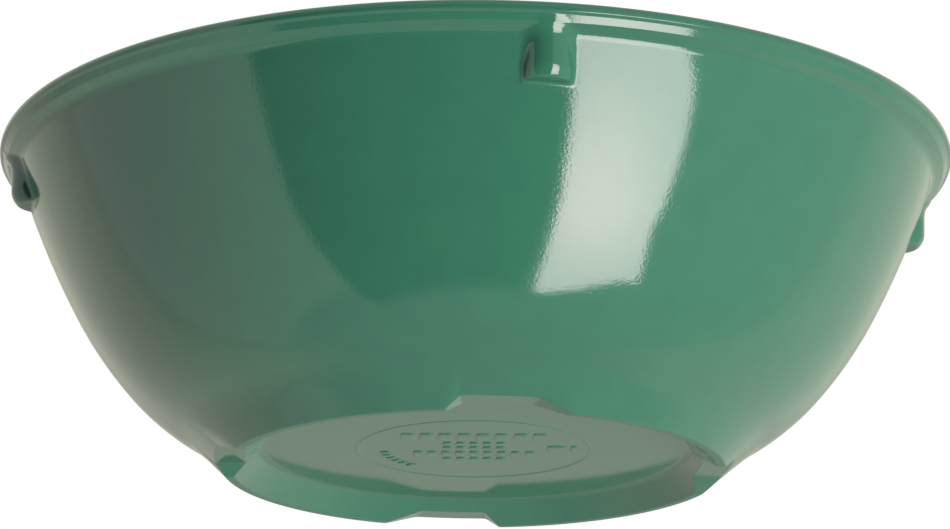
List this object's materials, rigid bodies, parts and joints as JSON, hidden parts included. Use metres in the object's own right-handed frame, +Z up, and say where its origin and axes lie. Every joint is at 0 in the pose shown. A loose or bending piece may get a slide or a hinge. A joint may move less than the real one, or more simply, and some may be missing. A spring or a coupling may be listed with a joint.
{
  "type": "stacking bowl",
  "caption": "Round one-piece moulded bowl with a rolled lip, stacking lugs under the lip, a notched foot ring and a recessed base.",
  "frame": {"origin": "centre of the circle that the foot stands on, at the lowest point of the bowl", "axes": "+Z up along the bowl's axis, through the mouth; the lugs lie along -Y, +X, +Y and -X"},
  "size_m": [0.145, 0.145, 0.0486],
  "materials": {
    "melamine": "glossy as moulded"
  },
  "bodies": {
    "root": {"base_disc": "melamine", "foot_ring": "melamine", "bowl_wall": "melamine", "rim_lip": "melamine", "base_ring": "melamine", "base_bars": "melamine", "foot_pad_front_right": "melamine", "foot_pad_back_right": "melamine", "foot_pad_back_left": "melamine", "foot_pad_front_left": "melamine", "stacking_lug_front": "melamine", "stacking_lug_right": "melamine", "stacking_lug_back": "melamine", "stacking_lug_left": "melamine"}
  },
  "joints": []
}
